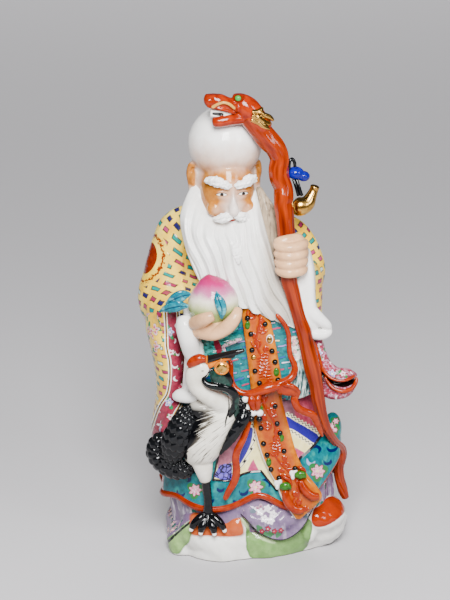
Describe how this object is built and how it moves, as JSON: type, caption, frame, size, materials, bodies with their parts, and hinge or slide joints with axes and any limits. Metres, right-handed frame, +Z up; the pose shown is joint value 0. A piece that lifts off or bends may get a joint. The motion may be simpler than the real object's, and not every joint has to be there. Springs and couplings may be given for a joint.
{
  "type": "shou lao figure",
  "caption": "Standing painted porcelain figure of an old man of long life with a dragon-headed staff, a peach and a crane, on a rock base.",
  "frame": {"origin": "on the flat underside of the rock, under the middle of the figure", "axes": "+Z up, the figure faces -Y, +X to the viewer's right"},
  "size_m": [0.1979, 0.1624, 0.4304],
  "materials": {
    "white_glaze": "clear glaze over white porcelain, glossy",
    "yellow_enamel": "yellow overglaze enamel with painted strokes, glossy",
    "iron_red_enamel": "iron red overglaze enamel, brushed, glossy",
    "turquoise_enamel": "turquoise overglaze enamel with painted flowers, glossy",
    "flesh_enamel": "pale flesh enamel, satin gloss",
    "black_enamel": "black overglaze enamel, glossy",
    "gilding": "thin fired gilding, worn"
  },
  "bodies": {
    "root": {"shou_lao_figure": "white_glaze"}
  },
  "joints": []
}
